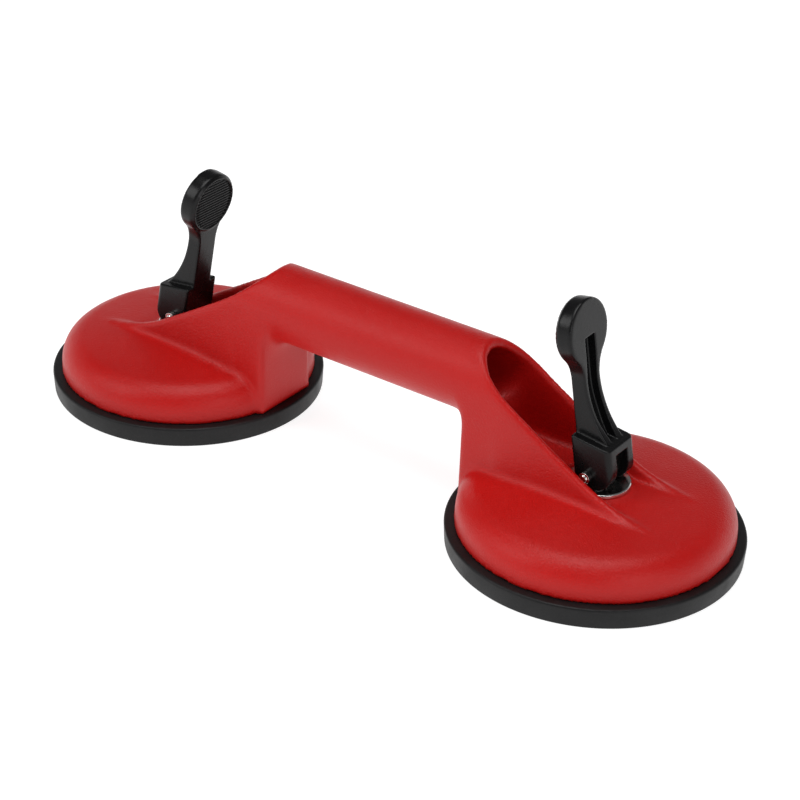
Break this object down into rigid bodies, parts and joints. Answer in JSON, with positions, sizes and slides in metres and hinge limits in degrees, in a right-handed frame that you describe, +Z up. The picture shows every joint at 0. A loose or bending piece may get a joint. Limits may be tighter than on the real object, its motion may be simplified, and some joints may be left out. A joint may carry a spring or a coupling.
{
  "type": "tile suction lifter",
  "caption": "Twin-cup suction lifter for tiles and glass: a tubular handle over two domed cups with rubber pads, each pulled tight by a cam lever.",
  "frame": {"origin": "on the floor plane, midway between the two cups", "axes": "+Z up away from the lifted surface, +X from the left cup to the right cup, +Y across the handle"},
  "size_m": [0.3288, 0.1186, 0.1032],
  "materials": {
    "red_plastic": "satin, finely spark-textured",
    "black_rubber": "matte",
    "black_plastic": "semi-gloss",
    "polished_steel": "polished",
    "plated_steel": "zinc plated"
  },
  "bodies": {
    "body": {"housing": "red_plastic", "suction_pad_left": "black_rubber", "thrust_washer_left": "polished_steel", "suction_pad_right": "black_rubber", "thrust_washer_right": "polished_steel"},
    "stud_left": {"backing_plate_left": "plated_steel", "pull_stud_left": "plated_steel", "pivot_pin_left": "polished_steel", "pin_collars_left": "polished_steel"},
    "stud_right": {"backing_plate_right": "plated_steel", "pull_stud_right": "plated_steel", "pivot_pin_right": "polished_steel", "pin_collars_right": "polished_steel"},
    "lever_left": {"cam_lever_left": "black_plastic"},
    "lever_right": {"cam_lever_right": "black_plastic"}
  },
  "joints": [
    {"name": "stud_lift_left", "type": "slide", "parent": "body", "child": "stud_left", "axis": [0, 0, 1], "range_m": [0, 0.00512]},
    {"name": "lever_swing_left", "type": "hinge", "parent": "stud_left", "child": "lever_left", "pos_m": [-0.1051, 0, 0.0347], "axis": [0, -1, 0], "range_deg": [0, 100]},
    {"name": "stud_lift_right", "type": "slide", "parent": "body", "child": "stud_right", "axis": [0, 0, 1], "range_m": [0, 0.00512]},
    {"name": "lever_swing_right", "type": "hinge", "parent": "stud_right", "child": "lever_right", "pos_m": [0.1051, 0, 0.0347], "axis": [0, 1, 0], "range_deg": [0, 100]}
  ],
  "couplings": [
    {"joint": "lever_swing_left", "follows": "stud_lift_left", "rad_per_m": 340.8},
    {"joint": "lever_swing_right", "follows": "stud_lift_right", "rad_per_m": 340.8}
  ]
}
